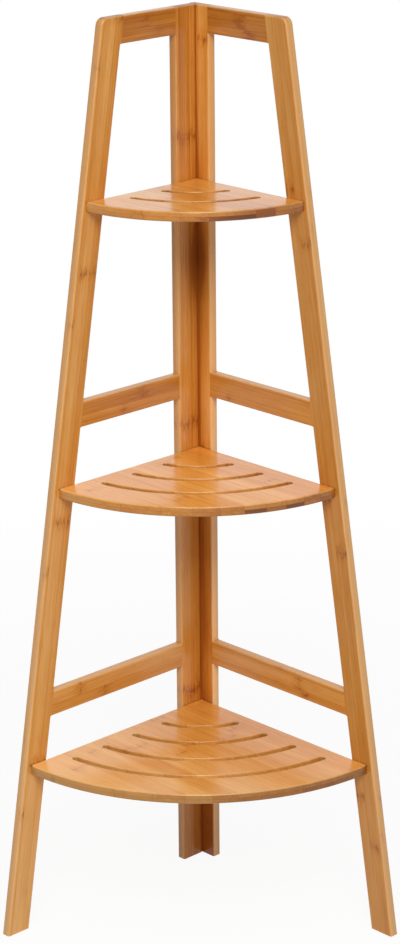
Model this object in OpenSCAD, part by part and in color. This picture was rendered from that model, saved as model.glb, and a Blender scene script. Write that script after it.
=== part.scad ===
// Bamboo corner stand with three quarter-round shelves, in millimetres.
// Two flat side frames meet at a right angle in the room's corner. Each frame is a raked
// front leg and an upright back post, joined by three dowelled rails. The shelves sit
// between the frames and are screwed to the legs and posts from the wall side.
// +Z is up. The origin is on the floor, in the middle of the square footprint. The corner
// is at -X and +Y. The right frame runs along +X and the left frame along -Y.

/* [Overall] */
// Height of the frames above the floor
height = 1100; // [1050:10:1300]
// Reach of each leg from the corner, at the floor
foot_reach = 342; // [320:2:400]
// Reach of each leg from the corner, at the top
top_reach = 159; // [152:1:190]

/* [Frame boards] */
// Thickness of the frame boards
board_t = 12; // [10:0.5:16]
// Width of the legs and posts
member_w = 32.5; // [30:0.5:40]
// Height of the top rails
top_rail_h = 32.5; // [30:0.5:45]
// Height of the mid and low rails
rail_h = 31; // [28:0.5:40]
// Lower edge of the mid rails above the floor
mid_rail_z = 622; // [600:1:660]
// Lower edge of the low rails above the floor
low_rail_z = 269; // [250:1:320]
// Radius of the long edges of the frames
edge_r = 2; // [1:0.25:3]
// Radius of each leg's outer top corner
top_corner_r = 10; // [6:1:18]

/* [Shelves] */
// Thickness of the shelves
shelf_t = 12; // [10:0.5:18]
// Upper face of the top shelf above the floor
top_shelf_z = 892; // [800:1:920]
// Upper face of the middle shelf above the floor
middle_shelf_z = 554.5; // [500:0.5:580]
// Upper face of the bottom shelf above the floor
bottom_shelf_z = 215.5; // [180:0.5:235]
// Distance from the top shelf's tips to the front of the legs
top_tip_gap = 3; // [1:0.5:10]
// Distance from the middle shelf's tips to the front of the legs
middle_tip_gap = 6.5; // [1:0.5:10]
// Distance from the bottom shelf's tips to the front of the legs
bottom_tip_gap = 7; // [1:0.5:10]
// Radius of the shelves' edges
shelf_edge_r = 2; // [1:0.25:3]

/* [Slots] */
// Width of the curved slots
slot_w = 8; // [5:0.5:12]
// Radius of the slots' rims
slot_rim_r = 1.5; // [0.5:0.25:2.5]
// Distance between the centre lines of two slots
slot_pitch = 49; // [40:1:51]
// Distance from a shelf's front edge to the centre line of its outer slot
slot_front_gap = 51; // [40:1:55]
// Distance from a shelf's straight edges to the slots' ends
slot_end_gap = 20; // [15:1:24]
// Number of slots in the top shelf
top_slots = 2; // [1:1:2]
// Number of slots in the middle shelf
middle_slots = 3; // [1:1:3]
// Number of slots in the bottom shelf
bottom_slots = 4; // [1:1:4]

/* [Dowels] */
// Glue gap between each end of a rail and the board that it meets
glue_gap = 0.05; // [0.05:0.05:0.2]
// Diameter of the dowels
dowel_d = 6; // [4:0.5:6]
// Length of the dowels
dowel_len = 26; // [20:1:34]
// Distance between the two dowels of a joint
dowel_spacing = 16; // [12:0.5:18]
// Chamfer on the dowels' ends
dowel_chamfer = 0.8; // [0.4:0.1:1.2]
// Clearance around a dowel in its bore
dowel_fit = 0.1; // [0.05:0.05:0.2]
// Free depth beyond each end of a dowel
dowel_end_room = 1; // [0.5:0.5:2]

/* [Screws] */
// Diameter of the screws' shanks
screw_d = 4; // [3:0.5:5]
// Diameter of the screws' heads
screw_head_d = 8; // [7:0.5:9]
// Depth that the shelf screws reach into a shelf
shelf_screw_grip = 16; // [12:1:18]
// Depth that the corner screws reach into the left post
corner_screw_grip = 26; // [18:1:28]
// Distance from the left post's free edge to its shelf screws
post_screw_edge = 7; // [6:0.5:8]
// Length of the screws' points
screw_point = 4; // [3:0.5:6]
// Depth of a screw head below the surface
screw_sink = 0.3; // [0.1:0.1:0.5]
// Clearance around a screw in its bore
screw_fit = 0.1; // [0.05:0.05:0.2]
// Free depth beyond the point of a screw
screw_end_room = 1; // [0.5:0.5:1.5]
// Width of the cross recess in a screw head
recess_w = 1; // [0.6:0.1:1.4]
// Length of each bar of the cross recess
recess_len = 4.4; // [3:0.2:5]
// Depth of the cross recess
recess_depth = 1.4; // [0.8:0.1:1.6]

/* [Hidden] */
$fn = 96;
frame_color = "#c68642";
shelf_color = "#d9a05f";
dowel_color = "#e0c08a";
screw_color = "silver";
// What a cutter passes beyond the surface that it cuts
over = 1;
// How far the curves of rounded edges cross the faces beside them, instead of grazing them
cross = 0.01;
// Angle that the arc of a half slot is drawn to, before it is cut on the shelf's diagonal
past_diagonal = 50;
// Angle between a leg and the upright
rake = atan((foot_reach - top_reach) / height);
// Width of a leg along a level line
leg_level_w = member_w / cos(rake);
// Each rail as its lower edge and its height
top_rail = [height - top_rail_h, top_rail_h];
mid_rail = [mid_rail_z, rail_h];
low_rail = [low_rail_z, rail_h];
rails = [low_rail, mid_rail, top_rail];
// Level bands below and between the rails, where the boards' inner edges are rounded
windows = [
    [-over, low_rail_z],
    [low_rail_z + rail_h, mid_rail_z],
    [mid_rail_z + rail_h, height - top_rail_h]
];
// Where each post's free edge is, from the corner: the left post stands against the right one
right_post_edge = member_w;
left_post_edge = board_t + member_w;
// Levels of the screws that join the posts, each midway between a shelf and a rail
corner_screw_levels = [
    bottom_shelf_z / 2,
    (low_rail_z + rail_h + middle_shelf_z) / 2,
    (mid_rail_z + rail_h + top_shelf_z) / 2,
    (top_shelf_z + height - top_rail_h) / 2
];

// Reach of the legs' front edge at a level
function reach(z) = foot_reach - (foot_reach - top_reach) * z / height;
// Place of the legs' inner edge at a level
function leg_inner(z) = reach(z) - leg_level_w;
// Radius of a shelf whose tips stay behind the legs' front edge
function shelf_r(z, tip_gap) = reach(z) - board_t - tip_gap;
// Levels of a rail's two dowels
function dowel_levels(rail) = [for (side = [-1, 1]) rail[0] + (rail[1] + side * dowel_spacing) / 2];
function screw_level(shelf_z) = shelf_z - shelf_t / 2;

// Flat frame coordinates are [distance from the corner, height, depth from the wall].
module on_right_wall() {
    translate([-foot_reach / 2, foot_reach / 2, 0]) rotate([90, 0, 0]) children();
}

module on_left_wall() {
    translate([-foot_reach / 2, foot_reach / 2, 0])
        mirror([1, 0, 0]) rotate([90, 0, -90]) children();
}

// Section that is taken off a square edge at the origin, to leave a round one
module edge_section(r) {
    difference() {
        translate([-over, -over]) square(r + over);
        translate([r - cross, r - cross]) circle(r);
    }
}

// The same for both edges of a board that ends at the origin and lies on its right
module edge_sections(r, thickness) {
    edge_section(r);
    translate([0, thickness]) mirror([0, 1]) edge_section(r);
}

// Rounds both faces of a flat board along the line from a to b, with the board on its left
module round_line(a, b, r, thickness) {
    step = b - a;
    translate([a[0], a[1], 0]) rotate([0, 0, atan2(step[1], step[0])]) rotate([90, 0, 90])
        linear_extrude(norm(step)) edge_sections(r, thickness);
}

// Screw with its head at the wall face and its point along +Z
module screw(length) {
    head_r = screw_head_d / 2;
    shank_r = screw_d / 2;
    cone_h = head_r - shank_r;
    translate([0, 0, screw_sink]) difference() {
        rotate_extrude() polygon([
            [0, 0],
            [head_r, 0],
            [shank_r, cone_h],
            [shank_r, length - screw_point],
            [0, length]
        ]);
        for (turn = [0, 90]) rotate([0, 0, turn])
            translate([-recess_len / 2, -recess_w / 2, -over])
                cube([recess_len, recess_w, recess_depth + over]);
    }
}

// Countersunk bore for a screw
module screw_bore(length) {
    head_r = screw_head_d / 2 + screw_fit;
    shank_r = screw_d / 2 + screw_fit;
    cone_h = head_r - shank_r;
    rotate_extrude() polygon([
        [0, -over],
        [head_r, -over],
        [head_r, screw_sink],
        [shank_r, screw_sink + cone_h],
        [shank_r, screw_sink + length + screw_end_room],
        [0, screw_sink + length + screw_end_room]
    ]);
}

module dowel() {
    r = dowel_d / 2;
    half = dowel_len / 2;
    rotate([0, 90, 0]) rotate_extrude() polygon([
        [0, -half],
        [r - dowel_chamfer, -half],
        [r, dowel_chamfer - half],
        [r, half - dowel_chamfer],
        [r - dowel_chamfer, half],
        [0, half]
    ]);
}

module dowel_bore() {
    length = dowel_len + 2 * dowel_end_room;
    rotate([0, 90, 0]) cylinder(h = length, d = dowel_d + 2 * dowel_fit, center = true);
}

// Puts a child at both dowels of a rail's joint with its post
module at_post_joint(rail, post_edge) {
    for (z = dowel_levels(rail)) translate([post_edge, z, board_t / 2]) children();
}

// Puts a child at both dowels of a rail's joint with its leg
module at_leg_joint(rail) {
    for (z = dowel_levels(rail)) translate([leg_inner(z), z, board_t / 2]) children();
}

// Shelf screws of one wall: one in the leg and one in the post
module at_leg_screw(shelf_z) {
    z = screw_level(shelf_z);
    translate([reach(z) - leg_level_w / 2, z, 0]) children();
}

module at_right_post_screw(shelf_z) {
    translate([(board_t + member_w) / 2, screw_level(shelf_z), 0]) children();
}

module at_left_post_screw(shelf_z) {
    translate([left_post_edge - post_screw_edge, screw_level(shelf_z), 0]) children();
}

module shelf_screw() {
    screw(board_t + shelf_screw_grip);
}

module shelf_screw_bore() {
    screw_bore(board_t + shelf_screw_grip);
}

// Screws that run through the right post into the edge of the left one, in right wall coordinates
module at_corner_screws() {
    for (z = corner_screw_levels) translate([board_t / 2, z, 0]) children();
}

module corner_screw_bores() {
    on_right_wall() at_corner_screws() screw_bore(board_t + corner_screw_grip);
}

// Takes off what lies outside a leg's top corner, which is round in its outline and its edges
module leg_corner_cut() {
    outer_r = top_corner_r + cross;
    translate([reach(height) - top_corner_r * tan((90 - rake) / 2), height - top_corner_r, 0])
        rotate([0, 0, rake]) rotate_extrude(angle = 90 - rake) translate([outer_r, 0]) {
            translate([0, -over]) square([top_corner_r, board_t + 2 * over]);
            mirror([1, 0]) edge_sections(edge_r + cross, board_t);
        }
}

// Raked front leg, the same on both walls
module leg() {
    difference() {
        linear_extrude(board_t) polygon([
            [leg_inner(0), 0],
            [reach(0), 0],
            [reach(height), height],
            [leg_inner(height), height]
        ]);
        round_line([reach(-over), -over], [reach(height + over), height + over], edge_r, board_t);
        round_line([reach(height) + over, height], [leg_inner(height) - over, height],
            edge_r, board_t);
        leg_corner_cut();
        for (band = windows)
            round_line([leg_inner(band[1]), band[1]], [leg_inner(band[0]), band[0]],
                edge_r, board_t);
        for (rail = rails) at_leg_joint(rail) dowel_bore();
        for (shelf_z = [top_shelf_z, middle_shelf_z, bottom_shelf_z])
            at_leg_screw(shelf_z) shelf_screw_bore();
    }
}

// Upright back post between two distances from the corner
module post(start, end) {
    difference() {
        translate([start, 0, 0]) cube([end - start, height, board_t]);
        round_line([end + over, height], [start - over, height], edge_r, board_t);
        round_line([start, height + over], [start, -over], edge_r, board_t);
        for (band = windows) round_line([end, band[0]], [end, band[1]], edge_r, board_t);
        for (rail = rails) at_post_joint(rail, end) dowel_bore();
    }
}

// Rail from a post's edge to the raked leg
module rail_board(rail, post_edge) {
    low = rail[0];
    high = rail[0] + rail[1];
    difference() {
        linear_extrude(board_t) polygon([
            [post_edge + glue_gap, low],
            [leg_inner(low) - glue_gap, low],
            [leg_inner(high) - glue_gap, high],
            [post_edge + glue_gap, high]
        ]);
        round_line([post_edge - over, low], [leg_inner(low) + over, low], edge_r, board_t);
        round_line([leg_inner(high) + over, high], [post_edge - over, high], edge_r, board_t);
        at_post_joint(rail, post_edge) dowel_bore();
        at_leg_joint(rail) dowel_bore();
    }
}

module rail_dowels(rail, post_edge) {
    at_post_joint(rail, post_edge) dowel();
    at_leg_joint(rail) dowel();
}

// Section of a slot from its middle line to one side, with round rims
module slot_side() {
    translate([0, -over]) square([slot_w / 2, shelf_t + 2 * over]);
    translate([slot_w / 2, 0]) edge_sections(slot_rim_r, shelf_t);
}

// Half of a slot: a half turn at its end, and an arc up to the shelf's diagonal
module half_slot(r) {
    from = asin((slot_end_gap + slot_w / 2) / r);
    far = r + slot_w;
    intersection() {
        rotate([0, 0, from]) rotate_extrude(angle = past_diagonal - from) translate([r, 0]) {
            slot_side();
            mirror([1, 0]) slot_side();
        }
        translate([0, 0, -2 * over]) linear_extrude(shelf_t + 4 * over)
            polygon([[0, 0], [far, 0], [far, far]]);
    }
    rotate([0, 0, from]) translate([r, 0, 0]) rotate([0, 0, 180])
        rotate_extrude(angle = 180) slot_side();
}

// Slot along an arc round the shelf's corner
module slot(r) {
    half_slot(r);
    mirror([1, -1, 0]) half_slot(r);
}

// Quarter-round shelf with slots
module shelf(shelf_z, tip_gap, slots) {
    r = shelf_r(shelf_z, tip_gap);
    difference() {
        translate([board_t - foot_reach / 2, foot_reach / 2 - board_t, shelf_z - shelf_t])
            rotate([0, 0, -90]) difference() {
                rotate_extrude(angle = 90) difference() {
                    square([r, shelf_t]);
                    translate([r, 0]) mirror([1, 0]) edge_sections(shelf_edge_r, shelf_t);
                }
                round_line([0, 0], [r + over, 0], shelf_edge_r, shelf_t);
                round_line([0, r + over], [0, 0], shelf_edge_r, shelf_t);
                for (i = [0 : slots - 1]) slot(r - slot_front_gap - i * slot_pitch);
            }
        on_right_wall() {
            at_leg_screw(shelf_z) shelf_screw_bore();
            at_right_post_screw(shelf_z) shelf_screw_bore();
        }
        on_left_wall() {
            at_leg_screw(shelf_z) shelf_screw_bore();
            at_left_post_screw(shelf_z) shelf_screw_bore();
        }
    }
}

module shelf_screws(shelf_z) {
    color(screw_color) {
        on_right_wall() {
            at_leg_screw(shelf_z) shelf_screw();
            at_right_post_screw(shelf_z) shelf_screw();
        }
        on_left_wall() {
            at_leg_screw(shelf_z) shelf_screw();
            at_left_post_screw(shelf_z) shelf_screw();
        }
    }
}

module left_front_leg() {
    color(frame_color) on_left_wall() leg();
}

module left_back_post() {
    color(frame_color) difference() {
        on_left_wall() difference() {
            post(board_t, left_post_edge);
            for (shelf_z = [top_shelf_z, middle_shelf_z, bottom_shelf_z])
                at_left_post_screw(shelf_z) shelf_screw_bore();
        }
        corner_screw_bores();
    }
}

module left_top_rail() {
    color(frame_color) on_left_wall() rail_board(top_rail, left_post_edge);
}

module left_mid_rail() {
    color(frame_color) on_left_wall() rail_board(mid_rail, left_post_edge);
}

module left_low_rail() {
    color(frame_color) on_left_wall() rail_board(low_rail, left_post_edge);
}

module right_front_leg() {
    color(frame_color) on_right_wall() leg();
}

module right_back_post() {
    color(frame_color) difference() {
        on_right_wall() difference() {
            post(0, right_post_edge);
            for (shelf_z = [top_shelf_z, middle_shelf_z, bottom_shelf_z])
                at_right_post_screw(shelf_z) shelf_screw_bore();
        }
        corner_screw_bores();
    }
}

module right_top_rail() {
    color(frame_color) on_right_wall() rail_board(top_rail, right_post_edge);
}

module right_mid_rail() {
    color(frame_color) on_right_wall() rail_board(mid_rail, right_post_edge);
}

module right_low_rail() {
    color(frame_color) on_right_wall() rail_board(low_rail, right_post_edge);
}

module top_shelf() {
    color(shelf_color) shelf(top_shelf_z, top_tip_gap, top_slots);
}

module middle_shelf() {
    color(shelf_color) shelf(middle_shelf_z, middle_tip_gap, middle_slots);
}

module bottom_shelf() {
    color(shelf_color) shelf(bottom_shelf_z, bottom_tip_gap, bottom_slots);
}

module left_top_rail_dowels() {
    color(dowel_color) on_left_wall() rail_dowels(top_rail, left_post_edge);
}

module left_mid_rail_dowels() {
    color(dowel_color) on_left_wall() rail_dowels(mid_rail, left_post_edge);
}

module left_low_rail_dowels() {
    color(dowel_color) on_left_wall() rail_dowels(low_rail, left_post_edge);
}

module right_top_rail_dowels() {
    color(dowel_color) on_right_wall() rail_dowels(top_rail, right_post_edge);
}

module right_mid_rail_dowels() {
    color(dowel_color) on_right_wall() rail_dowels(mid_rail, right_post_edge);
}

module right_low_rail_dowels() {
    color(dowel_color) on_right_wall() rail_dowels(low_rail, right_post_edge);
}

module corner_screws() {
    color(screw_color) on_right_wall() at_corner_screws() screw(board_t + corner_screw_grip);
}

module top_shelf_screws() {
    shelf_screws(top_shelf_z);
}

module middle_shelf_screws() {
    shelf_screws(middle_shelf_z);
}

module bottom_shelf_screws() {
    shelf_screws(bottom_shelf_z);
}

left_front_leg();
left_back_post();
left_top_rail();
left_mid_rail();
left_low_rail();
right_front_leg();
right_back_post();
right_top_rail();
right_mid_rail();
right_low_rail();
top_shelf();
middle_shelf();
bottom_shelf();
left_top_rail_dowels();
left_mid_rail_dowels();
left_low_rail_dowels();
right_top_rail_dowels();
right_mid_rail_dowels();
right_low_rail_dowels();
corner_screws();
top_shelf_screws();
middle_shelf_screws();
bottom_shelf_screws();
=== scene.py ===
import math
from types import SimpleNamespace

import bmesh
import bpy
from mathutils import Matrix, Vector


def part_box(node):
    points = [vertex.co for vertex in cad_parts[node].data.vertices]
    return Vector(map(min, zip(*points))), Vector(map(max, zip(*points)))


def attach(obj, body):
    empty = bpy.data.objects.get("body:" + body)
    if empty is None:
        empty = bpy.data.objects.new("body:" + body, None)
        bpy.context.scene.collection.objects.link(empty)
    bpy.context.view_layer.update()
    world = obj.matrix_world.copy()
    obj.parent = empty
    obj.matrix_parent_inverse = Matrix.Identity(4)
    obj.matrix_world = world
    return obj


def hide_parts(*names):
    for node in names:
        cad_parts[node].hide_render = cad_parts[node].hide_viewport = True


# Looks of a bamboo corner stand: lacquered laminated bamboo boards, slotted quarter-round shelves,
# countersunk screws and fluted dowels. Everything is in metres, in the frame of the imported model.
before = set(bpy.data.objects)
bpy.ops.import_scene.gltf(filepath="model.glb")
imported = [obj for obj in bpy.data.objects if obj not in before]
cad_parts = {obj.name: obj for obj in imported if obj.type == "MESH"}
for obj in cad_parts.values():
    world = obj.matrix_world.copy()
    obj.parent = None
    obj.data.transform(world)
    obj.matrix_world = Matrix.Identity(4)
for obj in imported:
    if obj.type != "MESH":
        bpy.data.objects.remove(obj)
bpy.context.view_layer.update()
print("frame loaded:", len(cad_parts), "nodes")

scene = bpy.context.scene
scene.view_settings.view_transform = "Standard"

# The corner between the two frames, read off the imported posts
postLow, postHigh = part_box("right_back_post")
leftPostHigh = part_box("left_back_post")[1]
outerCorner = Vector((postLow.x, postHigh.y, 0))
innerCorner = Vector((leftPostHigh.x, postLow.y, 0))
frameHeight = postHigh.z
weldDistance = 1e-6
levelWithin = 1e-5              # the rise of an edge that still counts as level


# Helpers for node trees

class Wire:
    # an output socket, so that chains of math nodes read as plain arithmetic
    def __init__(self, node, output=0):
        self.tree = node.id_data
        self.socket = node.outputs[output]

    def math(self, operation, *others, clamp=False):
        return mathNode(self.tree, operation, self, *others, clamp=clamp)

    def __add__(self, other):
        return self.math("ADD", other)

    def __sub__(self, other):
        return self.math("SUBTRACT", other)

    def __rsub__(self, other):
        return mathNode(self.tree, "SUBTRACT", other, self)

    def __mul__(self, other):
        return self.math("MULTIPLY", other)

    def __truediv__(self, other):
        return self.math("DIVIDE", other)

    def __pow__(self, other):
        return self.math("POWER", other)

    def __lt__(self, other):
        return self.math("LESS_THAN", other)

    def __gt__(self, other):
        return self.math("GREATER_THAN", other)

    def __abs__(self):
        return self.math("ABSOLUTE")

    __radd__ = __add__
    __rmul__ = __mul__

    def split(self):
        node = addNode(self.tree, "ShaderNodeSeparateXYZ", {0: self})
        return [Wire(node, axis) for axis in range(3)]


def feed(node, inputs):
    # links wires to a node's inputs and sets the other values on them
    for name, value in inputs.items():
        if isinstance(value, Wire):
            node.id_data.links.new(value.socket, node.inputs[name])
        else:
            node.inputs[name].default_value = value


def addNode(tree, kind, inputs=None, **settings):
    node = tree.nodes.new(kind)
    for name, value in settings.items():
        setattr(node, name, value)
    feed(node, inputs or {})
    return node


def wired(tree, kind, inputs=None, output=0, **settings):
    return Wire(addNode(tree, kind, inputs, **settings), output)


def mathNode(tree, operation, *values, clamp=False):
    inputs = dict(enumerate(values))
    return wired(tree, "ShaderNodeMath", inputs, operation=operation, use_clamp=clamp)


def vectorMath(operation, first, second):
    output = "Value" if operation == "DOT_PRODUCT" else "Vector"
    return wired(first.tree, "ShaderNodeVectorMath", {0: first, 1: second}, output, operation=operation)


def joinVector(tree, x, y, z):
    return wired(tree, "ShaderNodeCombineXYZ", {"X": x, "Y": y, "Z": z})


def smoothStep(value, low, high, toLow=0.0, toHigh=1.0):
    inputs = {"Value": value, "From Min": low, "From Max": high, "To Min": toLow, "To Max": toHigh}
    return wired(value.tree, "ShaderNodeMapRange", inputs, interpolation_type="SMOOTHSTEP")


def mixNumber(share, first, second):
    return wired(share.tree, "ShaderNodeMix", {0: share, 2: first, 3: second})


def mixColor(share, first, second):
    return wired(share.tree, "ShaderNodeMixRGB", {"Fac": share, "Color1": first, "Color2": second})


def colorRamp(tone, first, last):
    node = addNode(tone.tree, "ShaderNodeValToRGB", {"Fac": tone})
    node.color_ramp.elements[0].color = first
    node.color_ramp.elements[1].color = last
    return node


def closeTo(distance, width):
    # 1 where the distance is nothing, and next to nothing past twice the width
    return ((distance / width) ** 2.0 * -1.0).math("EXPONENT")


def stretchedNoise(place, scales, detail, roughness):
    inputs = {"Vector": vectorMath("MULTIPLY", place, scales), "Scale": 1.0, "Detail": detail,
              "Roughness": roughness}
    return wired(place.tree, "ShaderNodeTexNoise", inputs, "Fac")


noiseSpan = (0.3, 0.7)          # most of a noise lies between these
socketTypes = {float: "NodeSocketFloat", int: "NodeSocketInt", tuple: "NodeSocketVector"}


def groupTree(name, kind, inputs, outputs):
    # inputs give the default of each socket, or the type of one that has none
    tree = bpy.data.node_groups.new(name, kind)
    for socketName, value in inputs.items():
        socketType = socketTypes.get(type(value), value)
        socket = tree.interface.new_socket(name=socketName, in_out="INPUT", socket_type=socketType)
        if socketType != value:
            socket.default_value = value
    for socketName, socketType in outputs.items():
        tree.interface.new_socket(name=socketName, in_out="OUTPUT", socket_type=socketType)
    node = tree.nodes.new("NodeGroupInput")
    start = {socketName: Wire(node, socketName) for socketName in inputs}
    return tree, start, tree.nodes.new("NodeGroupOutput")


# Bamboo boards: strips glued side by side in two plies, under a clear lacquer

# Hues of caramel bamboo, as linear colours
bambooHues = {
    "pale": (0.75, 0.395, 0.12, 1),
    "middle": (0.605, 0.245, 0.038, 1),
    "deep": (0.36, 0.100, 0.009, 1),
    "knuckle": (0.20, 0.052, 0.006, 1),
    # the hue of rubbed edges, also standing for a painted highlight
    "rubbed": (0.84, 0.48, 0.19, 1),
    # the narrow sides' hue, partly their own and partly painted light
    "side": (0.88, 0.50, 0.215, 1),
}
middleHueTone = 0.45            # the tone that takes the middle hue

# Noises in the wood: scales along, across and through the board, detail and roughness
bambooNoises = {
    "broad": ((2.2, 70, 70), 2.0, 0.5),
    "medium": ((5.0, 330, 330), 3.0, 0.6),
    "fine": ((32.0, 850, 850), 2.0, 0.6),
    "cloud": ((9.0, 22, 22), 2.0, 0.5),
    "waver": ((1, 240, 240), 2.0, 0.5),
    "blots": ((95, 210, 210), 2.0, 0.6),
    "rubbing": ((26, 60, 60), 3.0, 0.5),
}
endDotScales = (60, 1100, 1100)

# What each mark adds to the tone, which runs from pale (0) to deep (1)
bambooTones = {
    "broad": 0.55,
    "medium": 0.58,
    "cloud": 0.30,
    "fibre": 0.20,
    "seam": 0.22,
    "plySeam": 0.28,
    "knuckleStain": 0.55,
    "groove": 0.60,
    "lowerPly": 0.15,           # of the shelves
    "endGrain": 0.18,
    "endDots": 0.18,
    "endStrips": -0.15,         # of end grain between the dark blocks
}

# Sizes and limits of the marks. A pair gives two values between which a mark sets in or fades
bambooMarks = {
    "stripSeam": (0.00008, 0.0006),
    "plySeam": (0.00008, 0.0005),
    "fibres": (0.50, 0.72),
    "knuckleLine": 0.0018,
    "knuckleBreaks": (0.36, 0.62),
    "knuckleStain": 0.0085,
    "knuckleBlots": (0.44, 0.66, 0.25),     # the last is the stain's share between the blots
    "knuckleWaver": 0.007,
    "knuckleShare": 0.45,       # of the knuckle hue in the line
    "endGrain": (0.60, 0.96),   # how squarely a face cuts the grain
    "endDots": (0.18, 0.42),
    "flat": (0.15, 0.70),
    "narrowSide": (0.10, 0.70),
    "upperBlocks": 0.6,         # how much the dark blocks fade in the upper ply
    "rubbedShares": (0.10, 0.42),   # least and most of the pale hue on rounded edges, wear and painted highlight
}

# Marks along the joint of the two posts, with heights from the middle of the posts: a groove, painted shade
# and light
jointMarks = {
    "grooveWidth": 0.0016,
    "shadeWidth": 0.011,
    "shadeTop": (0.33, 0.40),   # the painted shade beside the groove ends between these heights
    # a painted shade beside the joint, just under the top shelf
    "stainHeight": 0.24,
    "stainLength": 0.042,
    "stainWidth": 0.016,
    "stainTone": 1.4,
    "stainShade": 0.6,
    "palerLengths": ((0.05, 0.075), (-0.30, 0.045)),    # height and half length of painted light above the two lower shelves
}

# Painted shade and light inside the shelves' slots, by the distance from the frames and from the diagonal
slotShades = {
    "fromFrame": 0.01,          # slots lie farther in than this
    # painted shade towards the slots' ends
    "ends": (0.022, 0.030),
    "endShade": 0.75,
    # painted light where the slots cross the diagonal
    "middle": (0.0, 0.07),
    "middleGlow": 1.25,
    # painted light on the end grain of the slots' walls
    "endGrainGlow": 0.12,
    "endGrainLoss": 0.75,
    "richnessLoss": 1.4,
    "rubbingLoss": 0.9,
}

# How much edges and rims lose of their brightness, the rims by painted shade, and what colours the narrow
# sides
bambooShades = {
    "endGrain": 0.16,
    "blocks": (0.25, 0.95, 1.0, 0.45),      # strength of a dark block, and the brightness left at either end
    "rim": 0.05,                # painted shade on every rounded edge of the shelves
    "lowerRim": 0.35,           # more painted shade on the undersides
    "endRim": 0.35,             # and more painted shade where the rim runs across the grain
    "greenLoss": 0.10,          # of the shelves' edges
    "blueLoss": 0.40,
    "sideTone": 0.25,           # share of the board's tone that its narrow sides take
    "sideRise": 20.0,           # painted light gained per metre towards the frame's inner face
}

# How the surface feels: the roughness, and heights for the relief
bambooSurface = {
    "roughness": 0.33,
    "fibreRoughness": 0.07,
    "cloudRoughness": 0.12,
    "wearRoughness": 0.10,      # of rubbed edges and end grain
    "fibreHeight": -0.35,
    "mediumHeight": 0.5,
    "seamHeight": -0.7,
    "knuckleHeight": 0.5,
}

# How each strip gets two random numbers, and its own run of fibres by them
stripDraws = {
    "wave": 12.9898,
    "stretch": 437.585,
    "upperPly": 37.0,           # added to the strips' numbers in the upper ply
    "second": 11.0,             # added for the second draw
    "shiftAlong": 7.0,          # by the first draw
    "shiftAcross": 3.0,         # by the second
}


def randomShare(value, seed):
    # one number from 0 to 1 for each whole value
    wave = value.math("MULTIPLY_ADD", stripDraws["wave"], seed).math("SINE")
    return (wave * stripDraws["stretch"]).math("FRACT")


def readStrips(board):
    # the ply and the strip, two random numbers for each strip, and the seams
    given = board.given
    board.upperPly = board.z > 0.0
    strip = (board.y + (board.upperPly * given["Ply Shift"] + given["Strip Shift"])) / given["Strip Width"]
    number = strip.math("FLOOR") + board.upperPly * stripDraws["upperPly"]
    board.stripTone = randomShare(number, given["Seed"])
    board.stripRun = randomShare(number + stripDraws["second"], given["Seed"])
    toSeam = strip.math("FRACT").math("PINGPONG", 0.5) * given["Strip Width"]
    board.seam = smoothStep(toSeam, *bambooMarks["stripSeam"], 1.0, 0.0)
    board.plySeam = smoothStep(abs(board.z), *bambooMarks["plySeam"], 1.0, 0.0)


def readFibres(board):
    # long fibres at three sizes, with their own run in each strip
    along = board.stripTone * stripDraws["shiftAlong"]
    across = board.stripRun * stripDraws["shiftAcross"]
    offset = joinVector(board.tree, along, across, board.given["Seed"])
    board.place = vectorMath("ADD", board.given["Vector"], offset)
    board.broad = stretchedNoise(board.place, *bambooNoises["broad"])
    board.medium = stretchedNoise(board.place, *bambooNoises["medium"])
    board.cloud = stretchedNoise(board.place, *bambooNoises["cloud"])
    fine = stretchedNoise(board.place, *bambooNoises["fine"])
    board.fibre = smoothStep(fine, *bambooMarks["fibres"])


def readKnuckles(board):
    # knuckles of the cane: a thin broken line with a wider stain around it
    given = board.given
    run = board.x + given["Knuckle Shift"] + board.stripRun * given["Knuckle Scatter"]
    distance = ((run / given["Knuckle Spacing"]).math("FRACT") - 0.5) * given["Knuckle Spacing"]
    waver = (stretchedNoise(board.place, *bambooNoises["waver"]) - 0.5) * bambooMarks["knuckleWaver"]
    distance = distance + waver
    broken = smoothStep(board.medium, *bambooMarks["knuckleBreaks"])
    blots = smoothStep(stretchedNoise(board.place, *bambooNoises["blots"]), *bambooMarks["knuckleBlots"])
    line = closeTo(distance, bambooMarks["knuckleLine"]) * broken
    darkPatch = closeTo(distance, bambooMarks["knuckleStain"]) * blots
    board.knuckleLine = line * given["Knuckle Strength"]
    board.knuckleStain = darkPatch * given["Knuckle Strength"]


def readFaces(board):
    # end grain, flat faces and rounded edges, by the way that the surface faces
    board.facing = abs(vectorMath("DOT_PRODUCT", board.given["Normal"], board.given["Along"]))
    board.endGrain = smoothStep(board.facing, *bambooMarks["endGrain"])
    board.upward = vectorMath("DOT_PRODUCT", board.given["Normal"], board.given["Through"])
    board.lean = board.upward ** 2.0
    board.flat = smoothStep(board.lean, *bambooMarks["flat"])
    board.rounding = board.lean * (1.0 - board.lean) * 4.0


def readSlots(board):
    # a shelf is measured from the inner corner, with one frame along x and the other along -y
    away = (board.x ** 2.0 + board.y ** 2.0).math("SQRT")
    toFrame = board.x.math("MINIMUM", board.y * -1.0)
    board.inSlot = (away < board.given["Slot Reach"]) * (toFrame > slotShades["fromFrame"])
    board.endLook = board.endGrain * (1.0 - board.inSlot * slotShades["endGrainLoss"])
    # the slots' walls take a painted shade, darker at their ends and lighter near the diagonal
    bright = board.given["Slot Brightness"] * (board.endGrain * slotShades["endGrainGlow"] + 1.0)
    bright = bright * smoothStep(toFrame, *slotShades["ends"], slotShades["endShade"], 1.0)
    offMiddle = abs(board.x + board.y)
    board.slotBright = bright * smoothStep(offMiddle, *slotShades["middle"], slotShades["middleGlow"], 1.0)


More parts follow.
